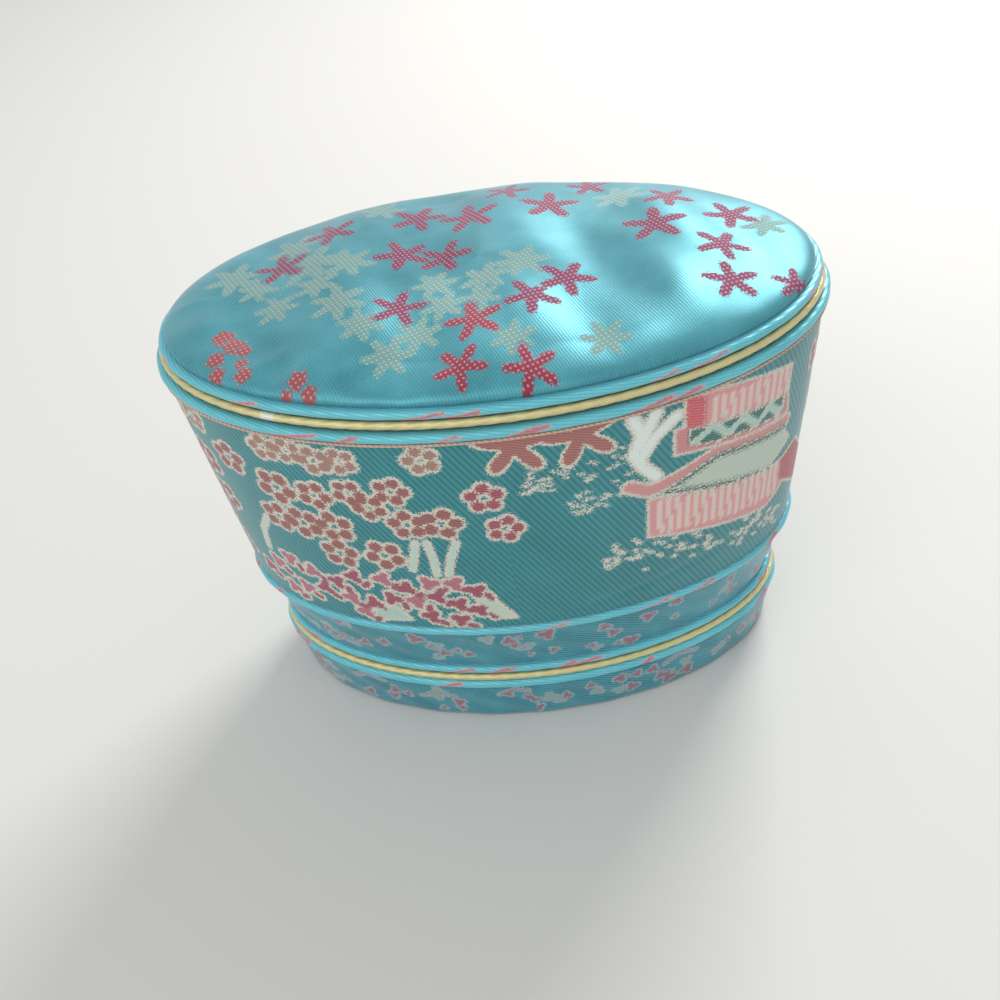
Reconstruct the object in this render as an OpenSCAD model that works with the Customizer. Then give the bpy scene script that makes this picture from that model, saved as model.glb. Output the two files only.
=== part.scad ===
// Oval keepsake box of greyboard covered in woven brocade: a tapering case on a
// necked foot, closed by a lift-off lid with a padded top and an inner collar.
// The reference oval is the middle line of the gold cord round the lid. Every
// other outline is that oval moved in or out by an offset, so a wall keeps one
// thickness all the way round. The origin is the middle of the underside.

/* [Oval] */
// Length of the oval, between the middles of the lid cord
oval_length = 136; // [120:1:170]
// Depth of the oval, between the middles of the lid cord
oval_depth = 81.4; // [76:0.2:100]

/* [Heights] */
// Height of the foot wall, from its hem to the underside of the foot board
foot_height = 12.7; // [8:0.1:20]
// Height of the neck between the foot and the floor board
neck_height = 15.9; // [8:0.1:24]
// Height of the case wall
wall_height = 56.9; // [35:0.1:80]
// Depth of the collar below the lid
collar_depth = 8; // [4:0.5:16]
// Thickness of the padded floor inside the case
floor_pad_height = 2.6; // [1:0.1:5]

/* [Padded top] */
// Height of the padded top above its seam
pad_height = 7.6; // [4:0.1:11]
// Where the side of the padded top stands
pad_edge_offset = -1.3; // [-3:0.1:-1]
// How far that side draws in at the seam
pad_draw_in = 0.6; // [0.2:0.1:1.2]
// Height at which the side bulges most
pad_side_height = 0.8; // [0.4:0.1:1.6]
// Gap in the wadding under the cover
wadding_gap = 0.2; // [0.1:0.05:0.5]

/* [Offsets from the oval] */
// Cover at the top of the case wall
wall_top_offset = 1.2; // [0:0.1:2]
// Cover at the bottom of the case wall
wall_foot_offset = -3.7; // [-6:0.1:-2]
// Cover at the top of the neck
neck_top_offset = -4.3; // [-7:0.1:-4]
// Cover at the bottom of the neck
neck_foot_offset = -8.2; // [-10:0.1:-6]
// Middle of the foot cord
foot_cord_offset = -7.2; // [-8:0.1:-6.6]
// Cover at the bottom of the foot wall
foot_hem_offset = -8.5; // [-10:0.1:-7]

/* [Rolled edges] */
// How far the lid's edge stands out from the oval
lid_edge_offset = 0.3; // [0:0.1:1]
// Thickness of the lid's edge over its cloth
lid_edge_height = 1.8; // [1.6:0.1:2.6]
// How far the case rim stands out past the top of the wall
rim_overhang = 0.8; // [0.3:0.1:1.2]
// Thickness of the case rim over its cloth
rim_height = 1.9; // [1.6:0.1:2.6]
// How far the floor board stands out past the bottom of the wall
floor_overhang = 0.7; // [0.3:0.1:1.2]
// Thickness of the floor board over its cloth
floor_height = 2; // [1.6:0.1:2.6]
// How far the neck board stands out past the middle of the foot cord
neck_edge_overhang = 0.3; // [0:0.1:0.8]
// Thickness of the neck board over its cloth
neck_edge_height = 2; // [1.6:0.1:2.6]
// How far the foot board stands out past the middle of the foot cord
foot_edge_overhang = 1.3; // [0.6:0.1:2]
// Thickness of the foot board over its cloth
foot_edge_height = 2.2; // [1.6:0.1:2.6]

/* [Cords] */
// Diameter of the gold cords
cord_d = 1.8; // [1.2:0.1:2]
// Diameter of the pale welt under the case rim
welt_d = 0.6; // [0.4:0.1:1]

/* [Card and cloth] */
// Greyboard of the walls
wall_card = 2; // [1.2:0.1:2.5]
// Card of the collar
collar_card = 1.2; // [0.8:0.1:2]
// Card under the padded top
pad_card = 1; // [0.6:0.1:1.6]
// Panel inside the lid
lining_panel_height = 1.4; // [0.8:0.1:2.4]
// Board that closes the foot
bottom_board_height = 1.5; // [1:0.1:3]
// How far the cloth of an edge turns in over its board
wrap_turn_in = 5; // [3:0.5:8]
// Paper under the foot
paper = 0.4; // [0.2:0.1:0.6]
// Brocade
cloth = 0.4; // [0.3:0.05:0.5]
// Lining satin
satin = 0.3; // [0.2:0.05:0.4]

/* [Fits] */
// Gap between the closed lid and the case rim
lid_gap = 0.3; // [0.2:0.05:0.6]
// Gap between the collar and the lining at the foot of the collar
collar_gap = 0.4; // [0.3:0.05:0.8]
// Gap between a cord and the board edges above and below it
cord_gap = 0.15; // [0.05:0.05:0.3]
// Film of glue between curved layers
glue = 0.05; // [0.02:0.01:0.1]

/* [Hidden] */

// Steps round the oval, points round a cord, and steps round a rolled edge
seg = 60;
cord_sides = 8;
welt_sides = 6;
edge_steps = 4;

half_length = oval_length / 2;
half_depth = oval_depth / 2;
cord_bed = cord_d + 2 * cord_gap;
cord_r = cord_d / 2;

// Levels, from the table up
z_hem = paper;
z_foot_top = z_hem + foot_height;
z_foot_board_top = z_foot_top + foot_edge_height;
z_foot_cord = z_foot_board_top + cord_bed / 2;
z_neck_board = z_foot_board_top + cord_bed;
z_neck = z_neck_board + neck_edge_height;
z_floor_board = z_neck + neck_height;
z_floor = z_floor_board + floor_height;
z_rim = z_floor + wall_height;
z_rim_top = z_rim + rim_height;
z_lid = z_rim_top + lid_gap;
z_lid_cord = z_lid + cord_bed / 2;
z_lid_edge = z_lid + cord_bed;
z_seam = z_lid_edge + lid_edge_height;

// Offsets that follow from the ones above
rim_offset = wall_top_offset + rim_overhang;
floor_offset = wall_foot_offset + floor_overhang;
neck_edge_offset = foot_cord_offset + neck_edge_overhang;
foot_edge_offset = foot_cord_offset + foot_edge_overhang;
foot_top_offset = foot_edge_offset - foot_edge_height / 4;
lid_cord_board_offset = -cord_r - glue;
foot_cord_board_offset = foot_cord_offset - cord_r - glue;
card_depth = cloth + glue;
lining_depth = card_depth + wall_card + glue;
wall_slope = (wall_top_offset - wall_foot_offset) / wall_height;
rim_inner_offset = wall_top_offset - lining_depth;
collar_foot_z = z_lid - collar_depth;
lining_at_collar_foot = rim_inner_offset - satin - wall_slope * (z_rim - collar_foot_z);
collar_offset = lining_at_collar_foot - collar_gap;
collar_card_offset = collar_offset - satin - glue;
lid_lining_offset = collar_card_offset - collar_card - glue;
pad_foot_offset = pad_edge_offset - pad_draw_in - cloth - glue;
pad_side_z = z_seam + pad_side_height;

// Rings of the padded top, and how its crown falls from the middle to the side
pad_rings = 9;
wadding_rings = 7;
pad_fall = 3;
pad_roundness = 0.58;

// One outline of the oval, moved out by offset and shrunk by size
function oval(offset, size = 1) = [
    for (i = [0:seg - 1])
        let (
            t = 360 * i / seg,
            n = [half_depth * cos(t), half_length * sin(t)],
            u = n / norm(n)
        )
        size * [half_length * cos(t) + offset * u[0], half_depth * sin(t) + offset * u[1]]
];

// The same outline as points at one height
function oval_at(offset, z, size = 1) = [for (p = oval(offset, size)) [p[0], p[1], z]];

// Two triangles for each step between ring a and ring b of a stack of rings
function join_rings(a, b) = [
    for (i = [0:seg - 1])
        let (j = (i + 1) % seg)
        for (face = [
            [a * seg + i, b * seg + i, b * seg + j],
            [a * seg + i, b * seg + j, a * seg + j]
        ]) face
];

// Triangles from ring a to one point
function join_point(a, point) = [for (i = [0:seg - 1]) [a * seg + i, point, a * seg + (i + 1) % seg]];

function reversed(faces) = [for (face = faces) [face[0], face[2], face[1]]];

// A closed section of [offset, z] corners, anticlockwise, carried round the oval
module carried(section) {
    n = len(section);
    polyhedron(
        points = [for (c = section) each oval_at(c[0], c[1])],
        faces = [for (k = [0:n - 1]) each join_rings(k, (k + 1) % n)]
    );
}

// A flat board with the oval's outline
module board(offset, z, height) {
    translate([0, 0, z]) linear_extrude(height) polygon(oval(offset));
}

// A flat ring or an upright band between two outlines
module ring(outer, inner, z, height) {
    translate([0, 0, z]) linear_extrude(height) difference() {
        polygon(oval(outer));
        polygon(oval(inner));
    }
}

// A layer that leans with a wall: its outer corners, and its thickness
module leaning_layer(low_offset, low_z, high_offset, high_z, thickness) {
    carried([
        [low_offset - thickness, low_z],
        [low_offset, low_z],
        [high_offset, high_z],
        [high_offset - thickness, high_z]
    ]);
}

// A cord round the oval
module hoop(offset, z, d, sides) {
    carried([
        for (i = [0:sides - 1])
            let (a = 360 * (i + 0.5) / sides)
            [offset + d / 2 * cos(a), z + d / 2 * sin(a)]
    ]);
}

// Cloth turned round the edge of a board, in section a letter C. The board's own
// edge stops where the round begins.
function edge_centre(offset, height) = offset - height / 2;
function arc(offset, z, height, r, from, to) = [
    for (i = [0:edge_steps])
        let (a = from + (to - from) * i / edge_steps)
        [edge_centre(offset, height) + r * cos(a), z + height / 2 + r * sin(a)]
];
module edge_wrap(offset, z, height, turn_in) {
    inner = edge_centre(offset, height) - turn_in;
    carried(concat(
        [[inner, z]],
        arc(offset, z, height, height / 2, -90, 90),
        [[inner, z + height], [inner, z + height - cloth]],
        arc(offset, z, height, height / 2 - cloth, 90, -90),
        [[inner, z + cloth]]
    ));
}
module wrapped_board(offset, z, height) {
    board(edge_centre(offset, height), z + cloth, height - 2 * cloth);
}

// Height of the padded crown over its side, at a share of the outline's size
function crown(share, height) = height * pow(1 - pow(share, pad_fall), pad_roundness);
function crown_share(k, rings) = sin(90 * (rings - k) / rings);

// Rings of the cover from its foot to near its middle: the drawn-in foot, the
// bulge of the side, and the crown. depth is how far they lie inside its surface.
function cover_rings(depth, top_z) = [
    oval_at(pad_edge_offset - pad_draw_in - depth, z_seam),
    for (k = [0:pad_rings - 1])
        let (share = crown_share(k, pad_rings))
        oval_at(pad_edge_offset - depth, pad_side_z + crown(share, top_z - pad_side_z), share)
];

module lid_cover() {
    top = z_seam + pad_height;
    outer = cover_rings(0, top);
    inner = cover_rings(cloth, top - cloth);
    n = len(outer);
    color("paleturquoise") polyhedron(
        points = [
            for (r = concat(outer, inner)) each r,
            [0, 0, top],
            [0, 0, top - cloth]
        ],
        faces = concat(
            [for (k = [0:n - 2]) each join_rings(k, k + 1)],
            join_point(n - 1, 2 * n * seg),
            [for (k = [0:n - 2]) each reversed(join_rings(n + k, n + k + 1))],
            reversed(join_point(2 * n - 1, 2 * n * seg + 1)),
            join_rings(n, 0)
        )
    );
}

module lid_wadding() {
    top = z_seam + pad_height - cloth - wadding_gap;
    edge = pad_edge_offset - cloth - wadding_gap;
    low_z = pad_side_z - wadding_gap;
    rings = [
        oval_at(pad_foot_offset, z_seam + pad_card + glue),
        for (k = [1:wadding_rings])
            let (share = crown_share(k, wadding_rings + 1))
            oval_at(edge, low_z + crown(share, top - low_z), share)
    ];
    n = len(rings);
    color("ivory") polyhedron(
        points = [for (r = rings) each r, [0, 0, top]],
        faces = concat(
            [[for (i = [0:seg - 1]) i]],
            [for (k = [0:n - 2]) each join_rings(k, k + 1)],
            join_point(n - 1, n * seg)
        )
    );
}

module lid_pad_card() {
    color("tan") board(pad_foot_offset, z_seam, pad_card);
}

module lid_top_board() {
    color("tan") wrapped_board(lid_edge_offset, z_lid_edge, lid_edge_height);
}

module lid_top_wrap() {
    color("lightskyblue") edge_wrap(lid_edge_offset, z_lid_edge, lid_edge_height, wrap_turn_in);
}

module lid_inner_board() {
    color("tan") board(lid_cord_board_offset, z_lid, cord_bed);
}

module lid_cord() {
    color("gold") hoop(0, z_lid_cord, cord_d, cord_sides);
}

module lid_collar() {
    color("tan") ring(
        collar_card_offset, collar_card_offset - collar_card, collar_foot_z, collar_depth
    );
}

module lid_collar_cover() {
    color("khaki") ring(collar_offset, collar_offset - satin, collar_foot_z, collar_depth);
}

module lid_lining() {
    color("khaki") board(lid_lining_offset, z_lid - lining_panel_height, lining_panel_height);
}

module rim_ring() {
    color("tan") ring(
        edge_centre(rim_offset, rim_height), rim_inner_offset, z_rim + cloth, rim_height - 2 * cloth
    );
}

module rim_wrap() {
    color("lightskyblue") edge_wrap(
        rim_offset, z_rim, rim_height, edge_centre(rim_offset, rim_height) - rim_inner_offset
    );
}

module rim_welt() {
    color("moccasin") hoop(
        wall_top_offset + welt_d / 2 + glue, z_rim - welt_d / 2 - glue, welt_d, welt_sides
    );
}

module case_wall() {
    color("tan") leaning_layer(
        wall_foot_offset - card_depth, z_floor, wall_top_offset - card_depth, z_rim, wall_card
    );
}

module case_cover() {
    color("teal") leaning_layer(wall_foot_offset, z_floor, wall_top_offset, z_rim, cloth);
}

module case_lining() {
    top = z_rim_top;
    color("khaki") leaning_layer(
        wall_foot_offset - lining_depth - glue, z_floor,
        rim_inner_offset - glue, top, satin
    );
}

module floor_board() {
    color("tan") wrapped_board(floor_offset, z_floor_board, floor_height);
}

module floor_wrap() {
    color("lightskyblue") edge_wrap(floor_offset, z_floor_board, floor_height, wrap_turn_in);
}

module floor_pad() {
    color("khaki") board(
        wall_foot_offset - lining_depth - satin - collar_gap, z_floor, floor_pad_height
    );
}

module neck_ring() {
    color("tan") leaning_layer(
        neck_foot_offset - card_depth, z_neck, neck_top_offset - card_depth, z_floor_board, wall_card
    );
}

module neck_cover() {
    color("darkcyan") leaning_layer(
        neck_foot_offset, z_neck, neck_top_offset, z_floor_board, cloth
    );
}

module neck_board() {
    color("tan") wrapped_board(neck_edge_offset, z_neck_board, neck_edge_height);
}

module neck_wrap() {
    color("lightskyblue") edge_wrap(neck_edge_offset, z_neck_board, neck_edge_height, wrap_turn_in);
}

module cord_board() {
    color("tan") board(foot_cord_board_offset, z_foot_board_top, cord_bed);
}

module foot_cord() {
    color("gold") hoop(foot_cord_offset, z_foot_cord, cord_d, cord_sides);
}

module foot_board() {
    color("tan") wrapped_board(foot_edge_offset, z_foot_top, foot_edge_height);
}

module foot_wrap() {
    color("lightskyblue") edge_wrap(foot_edge_offset, z_foot_top, foot_edge_height, wrap_turn_in);
}

module foot_wall() {
    color("tan") leaning_layer(
        foot_hem_offset - card_depth, z_hem + cloth, foot_top_offset - card_depth, z_foot_top, wall_card
    );
}

// The foot's cover turns in under the wall as a hem
module foot_cover() {
    hem_inner = foot_hem_offset - card_depth - wall_card;
    color("turquoise") carried([
        [hem_inner, z_hem],
        [foot_hem_offset, z_hem],
        [foot_top_offset, z_foot_top],
        [foot_top_offset - cloth, z_foot_top],
        [foot_hem_offset - cloth, z_hem + cloth],
        [hem_inner, z_hem + cloth]
    ]);
}

module bottom_board() {
    color("tan") board(
        foot_hem_offset - card_depth - wall_card - glue, z_hem, bottom_board_height
    );
}

module bottom_paper() {
    color("gray") board(foot_hem_offset - cloth, 0, paper);
}

lid_cover();
lid_wadding();
lid_pad_card();
lid_top_board();
lid_top_wrap();
lid_inner_board();
lid_cord();
lid_collar();
lid_collar_cover();
lid_lining();
rim_ring();
rim_wrap();
rim_welt();
case_wall();
case_cover();
case_lining();
floor_board();
floor_wrap();
floor_pad();
neck_ring();
neck_cover();
neck_board();
neck_wrap();
cord_board();
foot_cord();
foot_board();
foot_wrap();
foot_wall();
foot_cover();
bottom_board();
bottom_paper();
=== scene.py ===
from math import pi, radians

import bpy
import numpy as np
from mathutils import Matrix, Vector


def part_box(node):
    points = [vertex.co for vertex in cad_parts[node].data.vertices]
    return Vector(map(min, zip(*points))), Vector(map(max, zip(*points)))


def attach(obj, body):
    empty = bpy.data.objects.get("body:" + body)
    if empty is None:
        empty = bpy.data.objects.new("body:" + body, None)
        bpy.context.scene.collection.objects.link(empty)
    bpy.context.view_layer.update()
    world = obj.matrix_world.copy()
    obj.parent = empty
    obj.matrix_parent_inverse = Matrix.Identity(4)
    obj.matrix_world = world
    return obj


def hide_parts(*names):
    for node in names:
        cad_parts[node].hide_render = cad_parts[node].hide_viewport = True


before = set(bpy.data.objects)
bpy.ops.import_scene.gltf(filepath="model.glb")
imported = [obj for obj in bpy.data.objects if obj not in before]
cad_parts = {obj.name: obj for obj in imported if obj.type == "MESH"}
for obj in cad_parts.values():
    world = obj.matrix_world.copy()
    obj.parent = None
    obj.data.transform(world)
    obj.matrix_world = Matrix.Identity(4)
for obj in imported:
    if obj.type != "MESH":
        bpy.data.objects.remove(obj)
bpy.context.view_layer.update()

# Camera. It stands in front of the box and above it, turned a little to the left,
# and the photograph is rolled by about nine degrees, so the camera is too.
camera_place = Vector((0.01516, -0.2042, 0.22499))
camera_turn, camera_pitch, camera_roll = radians(5.31), radians(41.85), radians(-9.36)
camera_lens, sensor_width, nearest_seen = 41.4, 36, 0.01
camera = bpy.data.objects.new("camera", bpy.data.cameras.new("camera"))
camera.matrix_world = (Matrix.Translation(camera_place) @ Matrix.Rotation(camera_turn, 4, "Z")
                       @ Matrix.Rotation(pi / 2 - camera_pitch, 4, "X")
                       @ Matrix.Rotation(camera_roll, 4, "Z"))
camera.data.lens, camera.data.sensor_width, camera.data.clip_start = camera_lens, sensor_width, nearest_seen
bpy.context.collection.objects.link(camera)
bpy.context.scene.camera = camera
bpy.context.scene.view_settings.view_transform = "Standard"


# Floor. A plain pale table top that the box stands on.
# It is scenery and not part of the box.
def dye(red, green, blue):
    """A colour given as 0 to 255, as it looks on a screen, made the linear colour that a shader takes."""
    shown = np.array([red, green, blue]) / 255
    linear = np.where(shown < 0.04045, shown / 12.92, ((shown + 0.055) / 1.055) ** 2.4)
    return (*[float(part) for part in linear], 1.0)


def finish_of(name, roughness=0.8, sheen=0.0, **sockets):
    """A new material, its node tree and its shader, with the constants set on the shader's own sockets."""
    material = bpy.data.materials.new(name)
    material.use_nodes = True
    shader = material.node_tree.nodes["Principled BSDF"]
    shader.inputs["Roughness"].default_value = roughness
    shader.inputs["Sheen Weight"].default_value = sheen
    for socket, value in sockets.items():
        shader.inputs[socket.replace("_", " ")].default_value = value
    return material, material.node_tree, shader


floor_reach = 3.0
floor_corners = [(-floor_reach, -floor_reach, 0), (floor_reach, -floor_reach, 0),
                 (floor_reach, floor_reach, 0), (-floor_reach, floor_reach, 0)]
floor_mesh = bpy.data.meshes.new("floor")
floor_mesh.from_pydata(floor_corners, [], [(0, 1, 2, 3)])
floor = bpy.data.objects.new("floor", floor_mesh)
bpy.context.collection.objects.link(floor)
floor_finish, tree, shader = finish_of("pale table", roughness=0.7)
shader.inputs["Base Color"].default_value = dye(222, 219, 213)
floor_mesh.materials.append(floor_finish)

# Light. One soft lamp to the right and behind, which makes the satin shine along its ridges,
# one wider and weaker lamp in front on the left, and an even pale room.
room_colour, room_strength = (0.92, 0.96, 1.0, 1), 0.62
lamps_aim_at = Vector((0, 0, 0.06))
room = bpy.data.worlds.new("room")
room.use_nodes = True
room.node_tree.nodes["Background"].inputs["Color"].default_value = room_colour
room.node_tree.nodes["Background"].inputs["Strength"].default_value = room_strength
bpy.context.scene.world = room
for name, place, size, power in (("back lamp", (0.36, 0.62, 0.6), 0.36, 5.8),
                                 ("front lamp", (-0.5, -0.75, 0.7), 0.9, 4.0)):
    lamp = bpy.data.objects.new(name, bpy.data.lights.new(name, "AREA"))
    lamp.data.size, lamp.data.energy = size, power
    aim = (Vector(place) - lamps_aim_at).to_track_quat("Z", "Y").to_matrix().to_4x4()
    lamp.matrix_world = Matrix.Translation(place) @ aim
    bpy.context.collection.objects.link(lamp)

# Case cover. Dark teal satin brocade glued round the tapering card wall, with a steep twill
# in its ground and flowers, leaves, a tree and a pavilion woven in and standing a little proud.
mm = 0.001
half_length, half_depth = 68.0, 40.7
turns = np.linspace(-pi / 2, 3 * pi / 2, 7201)
steps_round = np.hypot(np.diff(half_length * np.cos(turns)), np.diff(half_depth * np.sin(turns)))
distance_round = np.concatenate([[0], np.cumsum(steps_round)])
girth = distance_round[-1]
no_motif = 9.0


def oval(offset, turn):
    """A point of the box's oval, moved out along its normal by offset: (a cos t, b sin t) plus offset
    times the unit vector along (b cos t, a sin t). Turn 0 is the right end. All in millimetres."""
    across, along = half_depth * np.cos(turn), half_length * np.sin(turn)
    reach = np.hypot(across, along)
    return (half_length * np.cos(turn) + offset * across / reach,
            half_depth * np.sin(turn) + offset * along / reach)


def turn_at(distance):
    """The turn of a point that far round the oval from the middle of the front, towards the right."""
    return np.interp(np.asarray(distance) % girth, distance_round, turns)


def offset_of(name):
    """How far out of the oval a CAD node reaches at its widest, and its lowest and highest level."""
    low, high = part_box(name)
    return high.x / mm - half_length, low.z / mm, high.z / mm


def flat_cloth(levels, distances):
    """The flat cloth's places: the distance round it, and the level up it, in millimetres."""
    return np.stack(np.meshgrid(distances, levels), -1)


def grid_piece(name, points, cloth, closed=True, edge=None, ink=None):
    """A mesh from a grid of points, row by row up the piece and column by column round it. Columns close
    into a ring. The rows close too, or else each end gathers in one point at its row's middle.
    cloth holds each point's place on the flat cloth in millimetres, with one column more."""
    rows, columns = points.shape[:2]
    row, column = np.meshgrid(np.arange(rows if closed else rows - 1), np.arange(columns), indexing="ij")
    above, beside = (row + 1) % rows, (column + 1) % columns
    faces = np.stack([row * columns + column, row * columns + beside,
                      above * columns + beside, above * columns + column], -1).reshape(-1, 4).tolist()
    flat = np.stack([cloth[row, column], cloth[row, column + 1],
                     cloth[above, column + 1], cloth[above, column]], 2).reshape(-1, 2)
    places = points.reshape(-1, 3)
    if not closed:
        places = np.concatenate([places, [points[0].mean(0), points[-1].mean(0)]])
        first, last, ring = rows * columns, rows * columns + 1, np.arange(columns)
        on, top_row = (ring + 1) % columns, (rows - 1) * columns
        faces += np.stack([np.full(columns, first), on, ring], -1).tolist()
        faces += np.stack([top_row + ring, top_row + on, np.full(columns, last)], -1).tolist()
        middle, peak = (np.tile(cloth[end, :-1].mean(0), (columns, 1)) for end in (0, -1))
        flat = np.concatenate([flat,
                               np.stack([middle, cloth[0, 1:], cloth[0, :-1]], 1).reshape(-1, 2),
                               np.stack([cloth[-1, :-1], cloth[-1, 1:], peak], 1).reshape(-1, 2)])
    if edge is None:
        edge, ink = np.full((rows, columns), no_motif), np.zeros((rows, columns, 3))
    ends = len(places) - rows * columns
    edges = np.concatenate([edge.ravel(), edge[[0, -1]].mean(1)[:ends]])
    inks = np.concatenate([ink.reshape(-1, 3), ink[[0, -1]].mean(1)[:ends]])
    inks = np.concatenate([inks, np.ones((len(inks), 1))], 1)
    mesh = bpy.data.meshes.new(name)
    mesh.from_pydata((places * mm).tolist(), [], faces)
    mesh.uv_layers.new(name="cloth").data.foreach_set("uv", flat.astype(np.float32).ravel())
    mesh.shade_smooth()
    edges, inks = edges.astype(np.float32), inks.astype(np.float32).ravel()
    mesh.attributes.new("edge", "FLOAT", "POINT").data.foreach_set("value", edges)
    mesh.attributes.new("ink", "FLOAT_COLOR", "POINT").data.foreach_set("color", inks)
    piece = bpy.data.objects.new(name, mesh)
    bpy.context.collection.objects.link(piece)
    return piece


class Weaving:
    """Motifs woven into a cloth. edge is the distance to the nearest motif's outline in millimetres, less
    than zero inside it, and ink is that motif's colour."""
    thread_reach = 0.5

    def __init__(self, across, up):
        self.across, self.up = across, up
        self.edge = np.full(across.shape, no_motif)
        self.ink = np.zeros((*across.shape, 3))

    def weave(self, distance, colour, on_top=False):
        """Takes a motif's distance and colour where it is the nearest. One that lies on top of others
        also takes all that is inside it, or within thread_reach of its outline."""
        nearer = distance < (np.maximum(self.edge, self.thread_reach) if on_top else self.edge)
        self.edge = np.where(nearer, distance, self.edge)
        self.ink[nearer] = dye(*colour)[:3]

    def lobes(self, across, up, size, count, depth, turn, colour, sharp=1.0, on_top=False):
        """A flower or leaf of that many lobes: its radius is size times 1 - depth (1 - c), where c is
        (0.5 + 0.5 cos(count angle)) to the power sharp. The distance is divided by its steepness."""
        dx, dy = self.across - across, self.up - up
        reach, angle = np.hypot(dx, dy) + 1e-6, np.arctan2(dy, dx) - turn
        wave = 0.5 + 0.5 * np.cos(count * angle)
        radius = size * (1 - depth * (1 - wave ** sharp))
        slope = size * depth * sharp * wave ** max(sharp - 1, 0) * 0.5 * count * np.abs(np.sin(count * angle))
        steepness = np.sqrt(1 + (slope / np.maximum(reach, 0.4 * size)) ** 2)
        self.weave((reach - radius) / steepness, colour, on_top)

    def blossom(self, across, up, size, turn, colour):
        """Five round petals in a ring, set a little apart: each is the distance to its own middle."""
        petal_place, petal_size = 0.62 * size, 0.33 * size
        for angle in turn + 2 * pi * np.arange(5) / 5:
            reach = np.hypot(self.across - across - petal_place * np.cos(angle),
                             self.up - up - petal_place * np.sin(angle))
            self.weave(reach - petal_size, colour)

    def speck(self, across, up, thinner):
        """A pale slanting speck. Its distance never falls below zero, so only its outline thread shows."""
        slanted = (self.across - across) * 0.75 + (self.up - up) * 0.4
        self.weave(np.hypot(slanted, self.up - up) + thinner, white)

    def nearest_stretch(self, starts, ends):
        """The distance to the nearest of some straight stretches, each from its start to its end."""
        nearest = np.full(self.edge.shape, np.inf)
        for (x0, y0), (x1, y1) in zip(starts, ends):
            ex, ey = x1 - x0, y1 - y0
            share = np.clip(((self.across - x0) * ex + (self.up - y0) * ey) / (ex * ex + ey * ey), 0, 1)
            nearest = np.minimum(nearest, np.hypot(self.across - x0 - share * ex, self.up - y0 - share * ey))
        return nearest

    def line(self, points, width, colour, on_top=False):
        """A woven line of that width through the points."""
        self.weave(self.nearest_stretch(points[:-1], points[1:]) - width / 2, colour, on_top)

    def patch(self, corners, colour, on_top=False):
        """A filled shape with straight sides. A point is inside when a line to its left crosses them
        an odd number of times."""
        following = corners[1:] + corners[:1]
        nearest, inside = self.nearest_stretch(corners, following), np.zeros(self.edge.shape, bool)
        for (x0, y0), (x1, y1) in zip(corners, following):
            crossed = (y0 > self.up) != (y1 > self.up)
            inside ^= crossed & (self.across < x0 + (self.up - y0) * (x1 - x0) / ((y1 - y0) or 1e-9))
        self.weave(np.where(inside, -nearest, nearest), colour, on_top)


cloth_gauge = 0.35
case_foot_out, case_cell, float_rise = -3.7, 0.64, 0.1
case_out, case_low, case_high = offset_of("case_cover")
case_columns = int(girth / case_cell / 2) * 2
case_up = np.linspace(case_low, case_high, int((case_high - case_low) / case_cell))
case_round = np.linspace(0, girth, case_columns + 1)
across, up = np.meshgrid(case_round[:-1], case_up)

# The pattern is as wide as half the girth, so it comes twice. Places are millimetres across from
# its middle, and millimetres above the table.
pattern_width = girth / 2
case_cloth = Weaving((across + pattern_width / 2) % pattern_width - pattern_width / 2, up)
crimson, brick, faded_bud, leaf_brown = (158, 58, 80), (146, 76, 76), (158, 116, 104), (160, 92, 88)
berry, pink_berry, dark_berry = (152, 50, 82), (176, 96, 116), (150, 60, 88)
cream, white, stem_aqua, reed_green = (216, 210, 194), (226, 238, 234), (170, 214, 204), (176, 204, 190)
rose, post_red, frame_pink, roof_pink = (218, 148, 152), (206, 84, 98), (206, 130, 134), (208, 140, 142)
deep_teal, zigzag_aqua, wall_stripe = (26, 104, 102), (150, 206, 196), (236, 190, 186)
wall_red, roof_pale, leaf_pale = (176, 70, 84), (190, 206, 190), (196, 210, 190)

# Flowering branches on the left: open flowers, buds, two maple leaves, berries, reeds and stems.
for x, z, size in ((-58, 82.5, 4.4), (-47, 78, 5), (-38, 78, 4.2), (-30, 80, 3.8), (-21, 81, 4),
                   (-26.5, 76.2, 3.9), (-19.5, 71.5, 4.4), (-12.5, 71.8, 4.6), (-50, 68.3, 4.4),
                   (-43.5, 68.3, 4.8), (-36, 69, 4.7), (-37, 60.5, 4.6), (-26.5, 61.5, 4.7),
                   (-3, 78.6, 4.2), (0, 69.3, 4), (-69, 77, 5), (-78, 69, 5), (-68, 66, 4.6),
                   (-76, 58, 5), (-80, 82, 4.4), (76, 84, 4.4), (80, 70, 4.6), (-82, 47, 4.4)):
    case_cloth.blossom(x, z, size, 0.3 * x, brick if x < -5 else crimson)
for x, z, size in ((-46, 89.5, 3.6), (-40.5, 90, 3.6), (-35, 88.3, 4), (-29.5, 88.8, 3.6),
                   (-13.5, 89.6, 3.8), (-66, 90, 4), (-74, 89, 3.6)):
    case_cloth.blossom(x, z, size, 0.7 * x, faded_bud)
for x, z, turn in ((4, 91.5, -2.2), (16.5, 91.5, -2.0)):
    case_cloth.lobes(x, z, 7.8, 5, 0.7, turn, leaf_brown, sharp=1.2)
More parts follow.
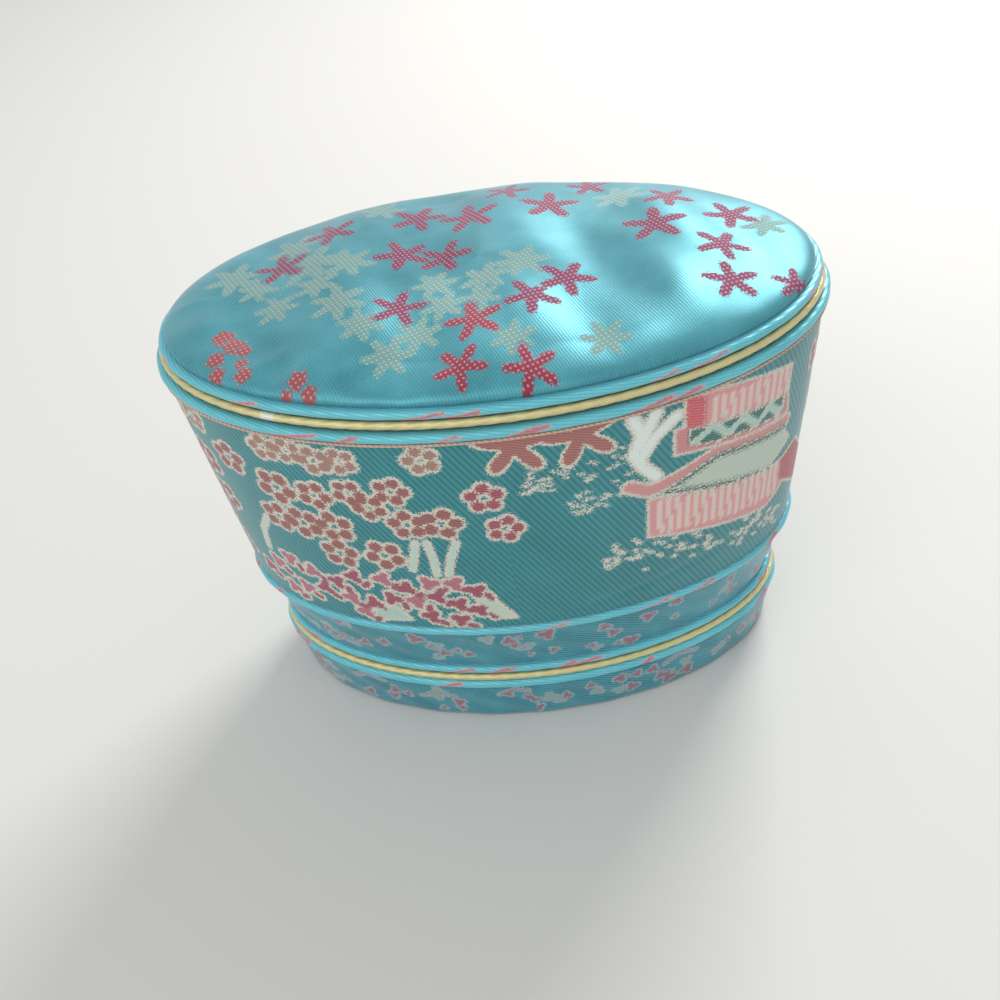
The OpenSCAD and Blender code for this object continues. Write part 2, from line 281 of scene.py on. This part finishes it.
for x, z in ((-53, 53.5), (-58, 50), (-63, 46), (-47, 51.5), (-51, 44.5), (-56, 42), (-41, 50),
             (-36, 53), (-29, 53.5), (-24, 51), (-18.5, 53), (-13, 53), (-8.6, 50.5), (-22.5, 46.5),
             (-17.5, 48.5), (-38.5, 45), (-33, 44.5), (-28, 47), (-13, 46), (-8.5, 44), (-20, 41.5),
             (-36, 40.8), (-45, 46.5), (-13.5, 40.5), (-71, 51)):
    case_cloth.lobes(x, z, 2.5, 3, 0.5, 0.9 * x, berry if int(x + z) % 2 else pink_berry, sharp=0.8)
    case_cloth.lobes(x + 2.6, z - 2.2, 1.5, 2, 0.5, 0.5 * x, dark_berry, sharp=0.8)
case_cloth.patch([(-9, 48), (-5, 47), (-1, 40.5), (-6, 41)], leaf_pale)
case_cloth.patch([(-33, 43), (-28, 44), (-25, 40), (-33, 39)], reed_green)
for points in ([(-19, 66), (-20, 62), (-21.2, 57.5)], [(-16.6, 66), (-16, 61), (-16.2, 56)],
               [(-10.5, 66), (-12.4, 61), (-13.6, 56)], [(-54, 66.5), (-57.6, 61), (-59, 54.5)]):
    case_cloth.line(points, 0.7, stem_aqua)

# A bare white tree in the middle, and the pavilion: two walls with pale stripes, a red post, a
# zigzag rail between them, and two sweeping roofs.
for points in ([(26.3, 92.3), (28, 88), (26.3, 83), (28, 79.5), (31, 75.6)],
               [(35, 90), (30.5, 86.2), (28, 82)], [(31, 92.5), (29.3, 89), (27.5, 85)]):
    case_cloth.line(points, 1.9, white)
case_cloth.patch([(37.5, 93.6), (37.5, 86), (63, 80.8), (63, 88), (50, 91.4)], rose)
case_cloth.patch([(37, 93.6), (37, 85.6), (41, 84.8), (41, 92.6)], post_red, on_top=True)
case_cloth.patch([(35, 86.2), (63, 81.4), (64, 75.6), (56, 76.4), (35, 80)], frame_pink)
case_cloth.patch([(38, 84.8), (61.6, 81), (61.6, 76.8), (42, 80), (38, 81.6)], deep_teal, on_top=True)
case_cloth.line([(39, 81.6), (43, 83.6), (47, 80.2), (50.5, 82.4), (54, 78.4), (57.6, 81), (60.6, 77.8)],
                0.8, zigzag_aqua, on_top=True)
case_cloth.line([(25.4, 74.6), (29.5, 72), (36, 73.6), (44, 76.2), (64, 73)], 2.6, roof_pink)
case_cloth.patch([(45, 74.6), (63, 71), (66.5, 66.6), (60, 63), (45, 67.2), (34, 70.4)], roof_pale)
case_cloth.patch([(29.5, 69.6), (45, 66), (60, 61.8), (66, 60.6), (66, 52.6), (61, 50.4), (29.5, 58.6)],
                 rose)
case_cloth.patch([(64, 61.4), (71, 63), (80, 54), (78, 46), (70, 52), (64, 56)], wall_red)
for points in ([(33, 70.4), (44.6, 75), (64, 71.4)], [(33, 70.4), (45, 66.6), (60, 62.2)]):
    case_cloth.line(points, 0.9, deep_teal, on_top=True)
stripe_gap, stripe_width = 2.1, 0.35
for start, end, top, top_fall, foot, foot_fall, shift in ((31.5, 65, 67.9, 0.2, 59.2, 0.2, 0.6),
                                                          (43, 63, 90.6, 0.12, 85.6, 0.2, 0.4)):
    for x in np.arange(start, end, stripe_gap):
        case_cloth.line([(x, top - (x - start) * top_fall), (x + shift, foot - (x - start) * foot_fall)],
                        stripe_width, wall_stripe, on_top=True)

# Pale specks: four small clouds beside the tree, and a slanting stretch of water below the pavilion.
scatter = np.random.default_rng(8)
water_specks = 84
for x, z, wide, tall, count in ((7.5, 80.6, 3.2, 3.2, 16), (13.5, 82.6, 5, 3, 12),
                                (17, 73.2, 4.4, 3.2, 20), (22, 79, 5, 7, 14)):
    for dx, dz in scatter.uniform(-1, 1, (count, 2)) * (wide, tall):
        case_cloth.speck(x + dx, z + dz, 0.22)
for share, side in zip(scatter.uniform(0, 1, water_specks), scatter.normal(0, 0.55, water_specks)):
    case_cloth.speck(19 + 49 * share, 56.5 - 13 * share + side * (3 + 5 * share * (1 - share)), 0.1)
float_reach, float_slope = 0.6, 0.5


def raised(edge, reach):
    """How far a motif stands up: a half less half the hyperbolic tangent of (edge - reach) over
    float_slope, which is 1 well inside it, a half at reach from its outline, and 0 outside."""
    return 0.5 - 0.5 * np.tanh((edge - reach) / float_slope)


# The cover's outer face leans out from the foot to the rim. The motifs stand a float's thickness
# proud, and one soft crease crosses the front on the right. Its inner face is plain.
case_share = (up - case_low) / (case_high - case_low)
case_offset = case_foot_out + (case_out - case_foot_out) * case_share - float_rise
case_offset += float_rise * raised(case_cloth.edge, float_reach) * np.sin(pi * case_share) ** 0.2
crease_level, crease_level_at, crease_rise = 43.5, 30, 0.16
crease_middle, crease_reach, crease_width, crease_depth = 28, 17, 1.1, 0.28
from_crease = up - (crease_level + crease_rise * (case_cloth.across - crease_level_at))
case_offset -= (crease_depth * np.exp(-(from_crease / crease_width) ** 2)
                * np.exp(-((case_cloth.across - crease_middle) / crease_reach) ** 2))
case_turn = turn_at(across)
case_rows = [np.stack([*oval(case_offset, case_turn), up], -1)]
for level, out in ((case_high, case_out), (case_low, case_foot_out)):
    x, y = oval(out - float_rise - cloth_gauge, case_turn[:1])
    case_rows.append(np.stack([x, y, np.full_like(x, level)], -1))
case_piece = grid_piece("case_brocade_cover", np.concatenate(case_rows),
                        flat_cloth([*case_up, case_high, case_low], case_round),
                        edge=np.concatenate([case_cloth.edge, np.full((2, case_columns), no_motif)]),
                        ink=np.concatenate([case_cloth.ink, np.zeros((2, case_columns, 3))]))


def node(tree, kind, *inputs, out=0, **settings):
    """A node of that kind with its inputs linked or set in order, and the output socket asked for."""
    made = tree.nodes.new("ShaderNode" + kind)
    for name, value in settings.items():
        setattr(made, name, value)
    for socket, value in zip(made.inputs, inputs):
        if isinstance(value, bpy.types.NodeSocket):
            tree.links.new(value, socket)
        elif value is not None:
            socket.default_value = value
    return made.outputs[out]


def maths(tree, operation, *inputs):
    """One step of arithmetic between sockets or numbers."""
    return node(tree, "Math", *inputs, operation=operation)


def mixed(tree, share, first, second):
    """Two colours mixed by a share from 0, all first, to 1, all second."""
    made = tree.nodes.new("ShaderNodeMix")
    made.data_type = "RGBA"
    for socket, value in zip((made.inputs[0], made.inputs[6], made.inputs[7]), (share, first, second)):
        if isinstance(value, bpy.types.NodeSocket):
            tree.links.new(value, socket)
        else:
            socket.default_value = value
    return made.outputs[2]


def embossed(tree, shader, height, strength, distance):
    """Bump from a height, with its strength and its depth in metres."""
    bump = tree.nodes.new("ShaderNodeBump")
    bump.inputs["Strength"].default_value, bump.inputs["Distance"].default_value = strength, distance
    tree.links.new(height, bump.inputs["Height"])
    tree.links.new(bump.outputs[0], shader.inputs["Normal"])


def cloth_wave(tree, place, across, up):
    """A sine over the flat cloth, from 0 to 1, with that many waves a millimetre across and up."""
    parts = tree.nodes.new("ShaderNodeSeparateXYZ")
    tree.links.new(place, parts.inputs[0])
    turned = maths(tree, "ADD", maths(tree, "MULTIPLY", parts.outputs[0], 2 * pi * across),
                   maths(tree, "MULTIPLY", parts.outputs[1], 2 * pi * up))
    return maths(tree, "MULTIPLY_ADD", maths(tree, "SINE", turned), 0.5, 0.5)


def brocade(name, ground, shade, outline, rib_across, rib_up, rib_depth, outline_width=0.7, dots=None,
            roughness=0.42, gloss=0.5, drift=0.35, lustre=0.0, relief=0.22):
    """Satin brocade. Its ground has twill ribs, rib_across and rib_up to the millimetre, in two close
    colours that drift. Motifs come from the edge and ink attributes, with outline threads of their own
    colour and floats across them, or with dots in place of the floats."""
    material, tree, shader = finish_of(name, roughness=roughness, sheen=0.35, Sheen_Roughness=0.4,
                                       Anisotropic=0.5, Specular_IOR_Level=gloss, Metallic=lustre)
    grain, raggedness, float_share, motif_blur, outline_blur = 0.3, 1.9, 0.2, 0.15, 0.2
    worked_roughness, thread_depth = 0.72, 0.00018
    place = node(tree, "UVMap", uv_map="cloth")
    ribs, floats = cloth_wave(tree, place, rib_across, rib_up), cloth_wave(tree, place, 0.5, 1.5)
    cloudy = node(tree, "TexNoise", place, None, 0.09, 3.0, noise_dimensions="2D")
    grainy = node(tree, "TexNoise", place, None, 2.2, 2.0, noise_dimensions="2D")
    shaded = maths(tree, "ADD", maths(tree, "MULTIPLY", ribs, rib_depth),
                   maths(tree, "MULTIPLY", cloudy, drift))
    shaded = maths(tree, "ADD", shaded, maths(tree, "MULTIPLY", grainy, grain))
    plain = mixed(tree, shaded, ground, shade)
    edge = node(tree, "Attribute", attribute_name="edge", out=2)
    ink = node(tree, "Attribute", attribute_name="ink", out=0)
    ragged = maths(tree, "MULTIPLY", maths(tree, "SUBTRACT", grainy, 0.5), raggedness)
    edge = maths(tree, "ADD", edge, ragged)
    if dots:
        spots = maths(tree, "MULTIPLY", cloth_wave(tree, place, dots, dots * 0.55),
                      cloth_wave(tree, place, -dots * 0.45, dots))
        inner = mixed(tree, node(tree, "MapRange", spots, 0.46, 0.8, 0.0, 0.6), ink, outline)
    else:
        inner = mixed(tree, maths(tree, "MULTIPLY", floats, float_share), ink, outline)
    within = node(tree, "MapRange", edge, -motif_blur, motif_blur, 1.0, 0.0)
    worked = node(tree, "MapRange", edge, outline_width - outline_blur, outline_width + outline_blur,
                  1.0, 0.0)
    round_it = mixed(tree, worked, plain, outline) if outline_width > 0 else plain
    tree.links.new(mixed(tree, within, round_it, inner), shader.inputs["Base Color"])
    threads = maths(tree, "ADD", ribs, maths(tree, "MULTIPLY", floats, worked))
    embossed(tree, shader, threads, relief, thread_depth)
    tree.links.new(node(tree, "MapRange", worked, 0.0, 1.0, roughness, worked_roughness),
                   shader.inputs["Roughness"])
    return material


def dress(piece, material, body, slot_name, *nodes):
    """Gives a piece its material and the body it rides on, and hides the CAD nodes it stands for. Its finish
    slot, slot_name, is not used.
    """
    piece.data.materials.append(material)
    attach(piece, body)
    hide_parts(*nodes)
    return piece


case_brocade = brocade("dark teal brocade", dye(66, 160, 166), dye(30, 110, 116), dye(*cream),
                       0.74, 0.42, 0.6)
dress(case_piece, case_brocade, "box", "case_brocade", "case_cover")

# Lid cover. Aqua satin brocade drawn over wadding into a low crown, tucked in at its seam.
# The satin lies in soft ridges from front to back and puckers where it is drawn round the front.
pad_side, pad_draw_in, tucked_under = 0.8, 0.6, 3.0
lid_columns, lid_rings, pole_angle = 512, 66, 0.02
ridge_gap, ridge_place, ridge_rise, ripple_gap, ripple_rise = 34.0, 6.0, 0.85, 15.0, 0.16
pucker_gap, pucker_rise, pucker_place, pucker_reach = 11.3, 0.2, 4, 3.5
leaf_rise = 0.05
pad_out, pad_seam, pad_high = offset_of("lid_cover")

# The top's level is a crown that falls with the cube of the share of the way out, plus two cosines
# across it, for wide ridges and fine ripples, that fade towards the edge. A third cosine, round the
# front edge only, makes the puckers. Below it the side draws in, and the cloth is tucked under.
lid_round = np.linspace(0, girth, lid_columns + 1)[:-1]
lid_turn = turn_at(lid_round)
share = np.sin(np.linspace(pole_angle, pi / 2, lid_rings))[:, None]
edge_x, edge_y = oval(pad_out, lid_turn)
top_x, top_y = share * edge_x, share * edge_y
crown = (pad_high - pad_seam - pad_side) * np.power(1 - share ** 3, 0.58)
lean = top_x - ridge_place - 0.12 * top_y + 2.5 * np.sin(top_y / 13)
swell = (ridge_rise * np.cos(2 * pi * lean / ridge_gap)
         + ripple_rise * np.cos(2 * pi * (top_x + 0.5 * top_y) / ripple_gap))
fade = np.clip((1 - share ** 4) * 1.6, 0, 1)
from_edge = (1 - share) * half_depth
pucker = (pucker_rise * np.cos(2 * pi * lid_round / pucker_gap + 1.5 * np.sin(lid_round / 17))
          * np.exp(-((from_edge - pucker_place) / pucker_reach) ** 2) * (lid_turn > pi))
top_z = pad_seam + pad_side + crown + (swell - ridge_rise) * fade + pucker
side_rows = []
for drop, draw in ((0.79, tucked_under), (0.79, 0.62 * pad_draw_in), (0.7, 0.4 * pad_draw_in),
                   (0.5, 0.18 * pad_draw_in), (0.25, 0.02 * pad_draw_in)):
    x, y = oval(pad_out - draw, lid_turn)
    side_rows.append(np.stack([x, y, np.full_like(x, pad_seam + pad_side - drop)], -1))
lid_points = np.concatenate([side_rows, np.stack([top_x, top_y, top_z], -1)[::-1]])

# Its leaves lie loose over the ground: dull pale ones first, then crimson ones on top of them, then
# sprigs of little red flowers at the left. All have small pale dots woven in. Places are
# millimetres from the lid's middle.
lid_cloth = Weaving(lid_points[..., 0], lid_points[..., 1])
fawn, plum, madder, soft_red = (124, 164, 158), (140, 62, 96), (160, 60, 82), (178, 92, 94)
for x, y, size in ((-52, 7, 6.5), (-46, 1, 5), (-41, -8, 5), (-36, 6, 7.5), (-27, 3.5, 6), (-33, -3, 5),
                   (-28, -11, 6), (-23, -19, 5), (-17.5, -28, 5.2), (-9, -7, 5), (-7, -15, 5),
                   (1, -8.5, 5.2), (0, -15, 4.6), (8.5, -4, 6), (-12, -22.5, 5.2), (6, -28, 4.6),
                   (23, -28.5, 5), (-40, 16, 6.5), (30, 22, 6), (-22, 28, 5.5), (58, 6, 5)):
    lid_cloth.lobes(x, y, size, 6, 0.55, 0.37 * x + y, fawn, sharp=0.9)
for x, y, size in ((-16, 5.5, 6.2), (-7, 3, 6), (-16, -14, 5.8), (-1, -21.5, 6), (10, -16.5, 5.8),
                   (17, -10.5, 6), (-4, -33, 5.4), (9, -35, 5.4), (-42, 8.5, 6), (-32, 19, 6),
                   (48, -3, 5.8), (48, -15, 5.8), (60, -15, 4.6), (36, 6, 7), (52, 10.5, 6),
                   (40, 18, 5.6), (-13.5, 22, 6.4), (-2, 18, 6.8), (15, 20, 6.6), (6, 29, 5.4),
                   (24, 31, 5)):
    lid_cloth.lobes(x, y, size, 5, 0.66, 0.61 * x + y, plum if y > -18 else madder, sharp=1.15, on_top=True)
for x, y, size in ((-51, -14.5, 2.6), (-48.5, -17.5, 2.5), (-52, -20.5, 2), (-46.5, -19, 1.8),
                   (-51.5, -24, 1.9), (-46.5, -22.6, 1.6), (-45.8, -25.8, 2), (-34.5, -30.6, 2.1),
                   (-37.2, -33, 1.6), (-32.4, -33.6, 1.7)):
    lid_cloth.lobes(x, y, size, 5, 0.3, x, soft_red, sharp=0.6, on_top=True)
on_top_face = lid_points[..., 2] > pad_seam + pad_side
lid_points[..., 2] += leaf_rise * raised(lid_cloth.edge, 0) * on_top_face
lid_flat = np.concatenate([lid_points[..., :2], lid_points[:, :1, :2]], 1)
lid_piece = grid_piece("lid_padded_cover", lid_points, lid_flat, closed=False,
                       edge=lid_cloth.edge, ink=lid_cloth.ink)
lid_brocade = brocade("aqua satin brocade", dye(104, 190, 202), dye(52, 132, 142), dye(206, 206, 196),
                      1.5, 0.8, 0.2, outline_width=0.0, dots=0.9, roughness=0.4, drift=0.75, lustre=0.4,
                      relief=0.1)
dress(lid_piece, lid_brocade, "lid", "lid_brocade", "lid_cover", "lid_wadding")

# Rolled edges. Each board of the lid, rim, ledge and foot has pale aqua brocade turned round
# its edge and glued down on both faces, which makes a soft round roll.
roll_columns, roll_steps, turned_in, rim_turned_in = 360, 14, 5.0, 3.4
roll_waves, roll_wave_rise, flecks_round = 37, 0.05, 16


def roll_section(out, low, high, gauge=cloth_gauge):
    """The closed section of cloth turned round a board's edge: out along the lower face, round the edge
    as half an oval, in along the upper face, and the same path back one cloth's thickness further in.
    Offsets and levels, in millimetres."""
    middle, half = (low + high) / 2, (high - low) / 2
    angle = np.linspace(-pi / 2, pi / 2, roll_steps)
    outside = [(out - turned_in, low),
               *zip(out - half + half * np.cos(angle), middle + half * np.sin(angle)),
               (out - turned_in, high)]
    within = half - gauge
    inside = [(out - turned_in, high - gauge),
              *zip(out - half + within * np.cos(angle[::-1]), middle + within * np.sin(angle[::-1])),
              (out - turned_in, low + gauge)]
    return np.array(outside + inside)


def carried(name, section, columns, ripple=0.0, count=0, edge=None, ink=None):
    """A closed section of offsets and levels carried round the box's oval. The offset swells by ripple
    times a sine of count waves round it."""
    distances = np.linspace(0, girth, columns + 1)
    swelling = np.sin(2 * pi * count * distances[:-1] / girth + 0.8 * section[:, 1:])
    x, y = oval(section[:, :1] + ripple * swelling, turn_at(distances[:-1]))
    levels = np.repeat(section[:, 1:], columns, 1)
    lengths = np.concatenate([[0], np.cumsum(np.hypot(*np.diff(section, axis=0).T))])
    return grid_piece(name, np.stack([x, y, levels], -1), flat_cloth(lengths, distances), edge=edge, ink=ink)


edge_brocade = brocade("pale aqua edge brocade", dye(128, 220, 232), dye(76, 172, 186), dye(206, 172, 172),
                       0.25, 1.6, 0.4, outline_width=0.5, roughness=0.38, gloss=0.6, drift=0.4, lustre=0.1)
fleck_pink, row_width = (190, 124, 138), 0.6
flecks = np.random.default_rng(21)
for title, name, body in (("lid_edge_roll", "lid_top_wrap", "lid"), ("rim_edge_roll", "rim_wrap", "box"),
                          ("ledge_roll", "floor_wrap", "box"), ("neck_roll", "neck_wrap", "box"),
                          ("foot_roll", "foot_wrap", "box")):
    section = roll_section(*offset_of(name))
    if name == "rim_wrap":
        section[:, 0] = np.maximum(section[:, 0], section[:, 0].max() - rim_turned_in)
    places = flat_cloth(np.arange(len(section)) * row_width, np.linspace(0, girth, roll_columns + 1)[:-1])
    woven = Weaving(places[..., 0], places[..., 1])
    for spot in flecks.uniform(0, girth, flecks_round):
        woven.line([(spot, 3), (spot + flecks.uniform(2, 8), 6)], flecks.uniform(0.6, 1.8), fleck_pink)
    dress(carried(title, section, roll_columns, roll_wave_rise, roll_waves, edge=woven.edge, ink=woven.ink),
          edge_brocade, body, "edge_brocade", name)

# Gold cords. Three strands of metallic thread twisted together, one glued round the lid
# under its roll and one round the foot. Each is joined with a wrapping of cream thread.
cord_columns, cord_steps, strands, twist_length = 900, 26, 3, 4.2
groove_depth, cord_girth, splice_length, splice_cream = 0.09, 5.6, 2.0, (236, 232, 214)
lid_splice_at, foot_splice_at = girth - 42.5, girth / 2


def twisted_cord(name, node_name, splice_at):
    """A twisted cord carried round the oval. Its radius falls in a groove between strands by groove_depth
    times the fourth power of the cosine of half the strands' angle, which turns as it goes round."""
    out, low, high = offset_of(node_name)
    radius, level = (high - low) / 2, (high + low) / 2
    laps = round(girth / twist_length / strands)
    distances = np.linspace(0, girth, cord_columns + 1)
    angle = np.linspace(0, 2 * pi, cord_steps, endpoint=False)[:, None]
    phase = strands * (angle - 2 * pi * laps * distances[:-1] / girth)
    splice = np.exp(-((distances[:-1] - splice_at) / splice_length) ** 4)[None]
    reach = radius * (1 - groove_depth * np.abs(np.cos(phase / 2)) ** 4 * (1 - splice))
    x, y = oval(out - radius + reach * np.cos(angle), turn_at(distances[:-1]))
    points = np.stack([x, y, level + reach * np.sin(angle)], -1)
    return grid_piece(name, points, flat_cloth(np.arange(cord_steps) / cord_steps * cord_girth, distances),
                      edge=np.repeat(no_motif * (1 - splice), cord_steps, 0) - 0.5,
                      ink=np.tile(np.array(dye(*splice_cream)[:3]), (cord_steps, cord_columns, 1)))


gold_finish, tree, shader = finish_of("glossy gold thread", roughness=0.36, sheen=0.2, Metallic=0.35,
                                      Specular_IOR_Level=0.7, Anisotropic=0.4)
place = node(tree, "UVMap", uv_map="cloth")
fine = cloth_wave(tree, place, 1.9, 1.4)
patchy = maths(tree, "MULTIPLY", node(tree, "TexNoise", place, None, 0.35, 2.0), 0.6)
gold = mixed(tree, maths(tree, "MULTIPLY", fine, patchy), dye(232, 218, 158), dye(158, 130, 66))
marked = node(tree, "MapRange", node(tree, "Attribute", attribute_name="edge", out=2), 0.0, 4.0, 1.0, 0.0)
gold = mixed(tree, marked, gold, node(tree, "Attribute", attribute_name="ink", out=0))
tree.links.new(gold, shader.inputs["Base Color"])
embossed(tree, shader, fine, 0.4, 0.0001)
for title, name, body, splice_at in (("lid_gold_cord", "lid_cord", "lid", lid_splice_at),
                                     ("foot_gold_cord", "foot_cord", "box", foot_splice_at)):
    dress(twisted_cord(title, name, splice_at), gold_finish, body, "gold_cord", name)

# Rim welt. A thin cream cord glued in the angle under the rim's roll, all round the case.
# It is one round section carried round the oval.
welt_columns, welt_steps = 480, 12
welt_out, welt_low, welt_high = offset_of("rim_welt")
welt_radius = (welt_high - welt_low) / 2
welt_angle = np.linspace(0, 2 * pi, welt_steps, endpoint=False)
welt_section = np.stack([welt_out - welt_radius + welt_radius * np.cos(welt_angle),
                         welt_low + welt_radius + welt_radius * np.sin(welt_angle)], -1)
welt_finish = brocade("cream welt thread", dye(226, 204, 178), dye(188, 140, 124), dye(*cream),
                      0.9, 0.9, 0.6, roughness=0.6, gloss=0.3)
dress(carried("rim_cream_welt", welt_section, welt_columns), welt_finish, "box", "pale_welt", "rim_welt")

# Neck and foot covers. Turquoise brocade round the card rings of the neck and the foot, each a
# little slack, so that it stands in shallow waves. Sprigs and pale scraps of pattern cross it.
foot_columns, foot_cell, foot_waves, foot_wave_rise = 520, 0.7, 23, 0.09
sprig_count, scrap_count = 110, 12
sprig_red, sprig_pale, scrap_pink = (160, 100, 116), (150, 170, 166), (170, 132, 144)
foot_brocade = brocade("turquoise brocade", dye(84, 196, 212), dye(32, 124, 140), dye(160, 186, 190),
                       0.5, 1.0, 0.5, outline_width=0.55, roughness=0.38, drift=0.8, lustre=0.2)
sprigs = np.random.default_rng(5)
for title, name, foot_out, top_out in (("neck_brocade_cover", "neck_cover", -8.2, -4.3),
                                       ("foot_brocade_cover", "foot_cover", -8.5, -6.45)):
    _, low, high = offset_of(name)
    levels = np.linspace(low, high, int((high - low) / foot_cell))
    offsets = foot_out + (top_out - foot_out) * (levels - low) / (high - low)
    section = np.stack([[*offsets, top_out - cloth_gauge, foot_out - cloth_gauge], [*levels, high, low]], -1)
    places = flat_cloth(section[:, 1], np.linspace(0, girth, foot_columns + 1)[:-1])
    woven = Weaving(places[..., 0], places[..., 1])
    for spot in sprigs.uniform(0, girth, sprig_count):
        level = sprigs.uniform(low + 2, high - 2)
        woven.lobes(spot, level, sprigs.uniform(1.0, 2.4), 3, 0.6, spot,
                    sprig_red if sprigs.uniform() < 0.6 else sprig_pale, sharp=0.7)
    for spot in sprigs.uniform(0, girth, scrap_count):
        level = sprigs.uniform(low + 1, high - 1)
        woven.line([(spot, level), (spot + 4, level + 2.5), (spot + 9, level + 1)], 0.8, scrap_pink)
    woven.edge[-2:] = no_motif
    dress(carried(title, section, foot_columns, foot_wave_rise, foot_waves, edge=woven.edge, ink=woven.ink),
          foot_brocade, "box", "foot_brocade", name)

# Inside. Plain gold satin lines the case wall and the lid's collar, and covers two thin pads,
# one on the floor and one under the lid.
lining_columns, lining_rows, near_end = 300, 14, 0.5
satin_finish = brocade("gold lining satin", dye(222, 192, 120), dye(188, 154, 88), dye(*cream),
                       0.2, 2.0, 0.4, roughness=0.36, drift=0.4)
for title, name, body in (("case_satin_lining", "case_lining", "box"),
                          ("collar_satin_cover", "lid_collar_cover", "lid")):
    shell = np.array([vertex.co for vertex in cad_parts[name].data.vertices]) / mm
    low, high = shell[:, 2].min(), shell[:, 2].max()
    ends = shell[np.abs(shell[:, 1]) < near_end]
    foot, top = (np.abs(ends[np.abs(ends[:, 2] - level) < 0.01][:, 0]) - half_length for level in (low, high))
    levels = np.linspace(low, high, lining_rows)
    outside = np.interp(levels, [low, high], [foot.max(), top.max()])
    inside = np.interp(levels[::-1], [low, high], [foot.min(), top.min()])
    section = np.stack([[*outside, *inside], [*levels, *levels[::-1]]], -1)
    dress(carried(title, section, lining_columns), satin_finish, body, "lining_satin", name)


pad_columns, pad_rings, pad_pole_angle, pad_rim_steps = 360, 26, 0.03, 9
pad_swell, bulge_share = 0.6, 0.35


def satin_pad(name, node_name, crown_side, rise):
    """A thin pad: its rim bulges as half an oval, and its face on crown_side, 1 for the upper and -1 for
    the lower, swells by rise times 1 - share^4. Rows go from the middle below to the middle on top."""
    out, low, high = offset_of(node_name)
    turn = turn_at(np.linspace(0, girth, pad_columns + 1)[:-1])
    shares = np.sin(np.linspace(pad_pole_angle, pi / 2, pad_rings))
    rim_bulge, rim_tall = (high - low) * bulge_share, high - low - rise
    rim_low = low + (rise if crown_side < 0 else 0)
    below = low + (rise if crown_side < 0 else 0) * shares ** 4
    above = high - (rise if crown_side > 0 else 0) * shares ** 4
    x, y = oval(out - rim_bulge, turn)
    rows = [(share * x, share * y, np.full_like(x, level)) for share, level in zip(shares, below)]
    for angle in np.linspace(-pi / 2, pi / 2, pad_rim_steps)[1:-1]:
        rim_x, rim_y = oval(out - rim_bulge + rim_bulge * np.cos(angle), turn)
        level = rim_low + rim_tall / 2 + rim_tall / 2 * np.sin(angle)
        rows.append((rim_x, rim_y, np.full_like(x, level)))
    rows += [(share * x, share * y, np.full_like(x, level))
             for share, level in zip(shares[::-1], above[::-1])]
    points = np.stack([np.stack(row, -1) for row in rows])
    return grid_piece(name, points, np.concatenate([points[..., :2], points[:, :1, :2]], 1), closed=False)


for title, name, body, side in (("floor_satin_pad", "floor_pad", "box", 1),
                                ("lid_satin_panel", "lid_lining", "lid", -1)):
    pad = dress(satin_pad(title, name, side, pad_swell), satin_finish, body, "lining_satin", name)

# Boards and paper. Matt greyboard of pressed card makes the rings, walls and boards, and the foot
# is closed with pasted paper. They keep their CAD shape and show only where no cloth covers them.
pulp_scale, pulp_detail = 900.0, 5.0
for title, names, base, fleck in (
        ("matt greyboard", ("lid_pad_card", "lid_top_board", "lid_inner_board", "lid_collar", "rim_ring",
                            "case_wall", "floor_board", "neck_ring", "neck_board", "cord_board",
                            "foot_board", "foot_wall", "bottom_board"),
         dye(164, 156, 142), dye(132, 124, 112)),
        ("pasted blue paper", ("bottom_paper",), dye(52, 96, 104), dye(38, 74, 82))):
    material, tree, shader = finish_of(title, roughness=0.9)
    pulp = node(tree, "TexNoise", node(tree, "TexCoord", out=3), None, pulp_scale, pulp_detail)
    tree.links.new(mixed(tree, pulp, base, fleck), shader.inputs["Base Color"])
    embossed(tree, shader, pulp, 0.3, 0.0002)
    for name in names:
        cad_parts[name].data.materials.clear()
        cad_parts[name].data.materials.append(material)
